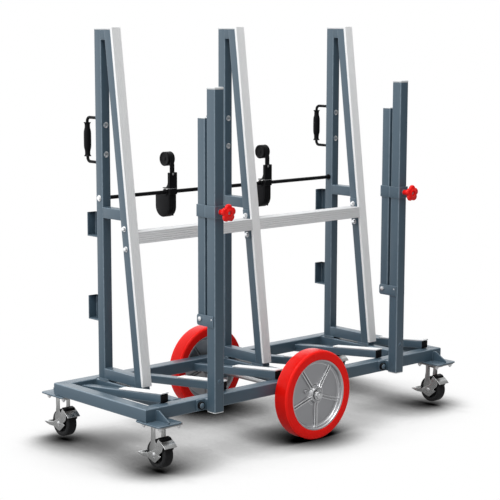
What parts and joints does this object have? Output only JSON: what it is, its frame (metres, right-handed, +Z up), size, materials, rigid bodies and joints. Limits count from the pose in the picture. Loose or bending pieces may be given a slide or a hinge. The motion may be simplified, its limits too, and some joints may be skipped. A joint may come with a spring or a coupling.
{
  "type": "slab buggy",
  "caption": "Rolling A-frame cart for stone slabs on edge, with leaning rubber-faced legs, sloping support arms, tilting side posts, large centre wheels and braked castors.",
  "frame": {"origin": "on the floor under the middle of the cart's outline", "axes": "+X along the cart towards the right-hand end seen from the slab side, +Y away from the slab side, +Z up"},
  "size_m": [1.514, 0.7592, 1.488],
  "materials": {
    "frame_paint": "blue-grey powder coat, satin",
    "grey_rubber": "light grey ribbed rubber, matt",
    "black_steel": "black coated steel",
    "black_plastic": "black moulded plastic",
    "red_plastic": "red moulded plastic",
    "red_tread": "red cast polyurethane, semi-gloss",
    "cast_aluminium": "cast aluminium, satin",
    "zinc_steel": "bright zinc plated pressed steel",
    "black_tyre": "black rubber tread",
    "bright_steel": "turned steel and zinc plated fasteners"
  },
  "bodies": {
    "cart": {"front_rail": "frame_paint", "rear_rail": "frame_paint", "end_rail_left": "frame_paint", "end_rail_right": "frame_paint", "cross_member_1": "frame_paint", "a_frame_1": "frame_paint", "leg_rubber_1": "grey_rubber", "bow_handle_1": "black_plastic", "cross_member_2": "frame_paint", "a_frame_2": "frame_paint", "leg_rubber_2": "grey_rubber", "bow_handle_2": "black_plastic", "cross_member_3": "frame_paint", "a_frame_3": "frame_paint", "leg_rubber_3": "grey_rubber", "bow_handle_3": "black_plastic", "mid_rail_1": "frame_paint", "mid_rail_2": "frame_paint", "support_arm_1": "frame_paint", "arm_pad_1": "grey_rubber", "support_arm_2": "frame_paint", "arm_pad_2": "grey_rubber", "support_arm_3": "frame_paint", "arm_pad_3": "grey_rubber", "support_arm_4": "frame_paint", "arm_pad_4": "grey_rubber", "support_arm_5": "frame_paint", "arm_pad_5": "grey_rubber", "support_arm_6": "frame_paint", "arm_pad_6": "grey_rubber", "cross_rod": "black_steel", "side_post_left": "frame_paint", "side_post_right": "frame_paint", "wheel_axle": "bright_steel"},
    "hook_slider_1": {"hook_collar_1": "black_steel"},
    "hook_1": {"hook_block_1": "black_plastic"},
    "lever_1": {"hook_lever_1": "black_plastic"},
    "hook_slider_2": {"hook_collar_2": "black_steel"},
    "hook_2": {"hook_block_2": "black_plastic"},
    "lever_2": {"hook_lever_2": "black_plastic"},
    "swing_left": {"swing_arm_left": "frame_paint"},
    "clamp_left": {"clamp_saddle_left": "frame_paint"},
    "knob_left": {"star_knob_left": "red_plastic"},
    "swing_right": {"swing_arm_right": "frame_paint"},
    "clamp_right": {"clamp_saddle_right": "frame_paint"},
    "knob_right": {"star_knob_right": "red_plastic"},
    "wheel_front": {"centre_wheel_front": "cast_aluminium"},
    "wheel_rear": {"centre_wheel_rear": "cast_aluminium"},
    "swivel_front_left": {"castor_fork_front_left": "zinc_steel"},
    "roller_front_left": {"castor_wheel_front_left": "black_tyre"},
    "brake_front_left": {"castor_brake_front_left": "zinc_steel"},
    "swivel_front_right": {"castor_fork_front_right": "zinc_steel"},
    "roller_front_right": {"castor_wheel_front_right": "black_tyre"},
    "brake_front_right": {"castor_brake_front_right": "zinc_steel"},
    "swivel_rear_left": {"castor_fork_rear_left": "zinc_steel"},
    "roller_rear_left": {"castor_wheel_rear_left": "black_tyre"},
    "brake_rear_left": {"castor_brake_rear_left": "zinc_steel"},
    "swivel_rear_right": {"castor_fork_rear_right": "zinc_steel"},
    "roller_rear_right": {"castor_wheel_rear_right": "black_tyre"},
    "brake_rear_right": {"castor_brake_rear_right": "zinc_steel"}
  },
  "joints": [
    {"name": "hook_slide_1", "type": "slide", "parent": "cart", "child": "hook_slider_1", "axis": [1, 0, 0], "range_m": [-0.257, 0.232]},
    {"name": "hook_swing_1", "type": "hinge", "parent": "hook_slider_1", "child": "hook_1", "pos_m": [-0.276, 0.19035, 0.887], "axis": [1, 0, 0], "range_deg": [-90, 90]},
    {"name": "hook_lever_1", "type": "hinge", "parent": "hook_1", "child": "lever_1", "pos_m": [-0.276, 0.17205, 0.95], "axis": [1, 0, 0], "range_deg": [-55, 0]},
    {"name": "hook_slide_2", "type": "slide", "parent": "cart", "child": "hook_slider_2", "axis": [1, 0, 0], "range_m": [-0.158, 0.332]},
    {"name": "hook_swing_2", "type": "hinge", "parent": "hook_slider_2", "child": "hook_2", "pos_m": [0.2015, 0.19035, 0.887], "axis": [1, 0, 0], "range_deg": [-90, 90]},
    {"name": "hook_lever_2", "type": "hinge", "parent": "hook_2", "child": "lever_2", "pos_m": [0.2015, 0.17205, 0.95], "axis": [1, 0, 0], "range_deg": [-55, 0]},
    {"name": "swing_arm_tilt_left", "type": "hinge", "parent": "cart", "child": "swing_left", "pos_m": [-0.478, -0.25035, 0.503], "axis": [-1, 0, 0], "range_deg": [0, 18]},
    {"name": "clamp_slide_left", "type": "slide", "parent": "cart", "child": "clamp_left", "axis": [0, 0, 1], "range_m": [-0.3, 0.3]},
    {"name": "knob_turn_left", "type": "hinge", "parent": "clamp_left", "child": "knob_left", "pos_m": [-0.478, -0.37565, 0.876], "axis": [0, 1, 0], "continuous": true},
    {"name": "swing_arm_tilt_right", "type": "hinge", "parent": "cart", "child": "swing_right", "pos_m": [0.43702, -0.25035, 0.503], "axis": [-1, 0, 0], "range_deg": [0, 18]},
    {"name": "clamp_slide_right", "type": "slide", "parent": "cart", "child": "clamp_right", "axis": [0, 0, 1], "range_m": [-0.3, 0.3]},
    {"name": "knob_turn_right", "type": "hinge", "parent": "clamp_right", "child": "knob_right", "pos_m": [0.43702, -0.37565, 0.876], "axis": [0, 1, 0], "continuous": true},
    {"name": "wheel_spin_front", "type": "hinge", "parent": "cart", "child": "wheel_front", "pos_m": [0, -0.29375, 0.165], "axis": [0, 1, 0], "continuous": true},
    {"name": "wheel_spin_rear", "type": "hinge", "parent": "cart", "child": "wheel_rear", "pos_m": [0, 0.30505, 0.165], "axis": [0, 1, 0], "continuous": true},
    {"name": "castor_swivel_front_left", "type": "hinge", "parent": "cart", "child": "swivel_front_left", "pos_m": [-0.6925, -0.27035, 0.1622], "axis": [0, 0, 1], "continuous": true},
    {"name": "castor_roll_front_left", "type": "hinge", "parent": "swivel_front_left", "child": "roller_front_left", "pos_m": [-0.6925, -0.26235, 0.066], "axis": [1, 0, 0], "continuous": true},
    {"name": "castor_brake_front_left", "type": "hinge", "parent": "swivel_front_left", "child": "brake_front_left", "pos_m": [-0.6925, -0.26235, 0.053], "axis": [1, 0, 0], "range_deg": [-6, 0]},
    {"name": "castor_swivel_front_right", "type": "hinge", "parent": "cart", "child": "swivel_front_right", "pos_m": [0.7035, -0.27035, 0.1622], "axis": [0, 0, 1], "continuous": true},
    {"name": "castor_roll_front_right", "type": "hinge", "parent": "swivel_front_right", "child": "roller_front_right", "pos_m": [0.7035, -0.26235, 0.066], "axis": [1, 0, 0], "continuous": true},
    {"name": "castor_brake_front_right", "type": "hinge", "parent": "swivel_front_right", "child": "brake_front_right", "pos_m": [0.7035, -0.26235, 0.053], "axis": [1, 0, 0], "range_deg": [-6, 0]},
    {"name": "castor_swivel_rear_left", "type": "hinge", "parent": "cart", "child": "swivel_rear_left", "pos_m": [-0.6925, 0.28165, 0.1622], "axis": [0, 0, 1], "continuous": true},
    {"name": "castor_roll_rear_left", "type": "hinge", "parent": "swivel_rear_left", "child": "roller_rear_left", "pos_m": [-0.6925, 0.28965, 0.066], "axis": [1, 0, 0], "continuous": true},
    {"name": "castor_brake_rear_left", "type": "hinge", "parent": "swivel_rear_left", "child": "brake_rear_left", "pos_m": [-0.6925, 0.28965, 0.053], "axis": [1, 0, 0], "range_deg": [-6, 0]},
    {"name": "castor_swivel_rear_right", "type": "hinge", "parent": "cart", "child": "swivel_rear_right", "pos_m": [0.7035, 0.28165, 0.1622], "axis": [0, 0, 1], "continuous": true},
    {"name": "castor_roll_rear_right", "type": "hinge", "parent": "swivel_rear_right", "child": "roller_rear_right", "pos_m": [0.7035, 0.28965, 0.066], "axis": [1, 0, 0], "continuous": true},
    {"name": "castor_brake_rear_right", "type": "hinge", "parent": "swivel_rear_right", "child": "brake_rear_right", "pos_m": [0.7035, 0.28965, 0.053], "axis": [1, 0, 0], "range_deg": [-6, 0]}
  ]
}
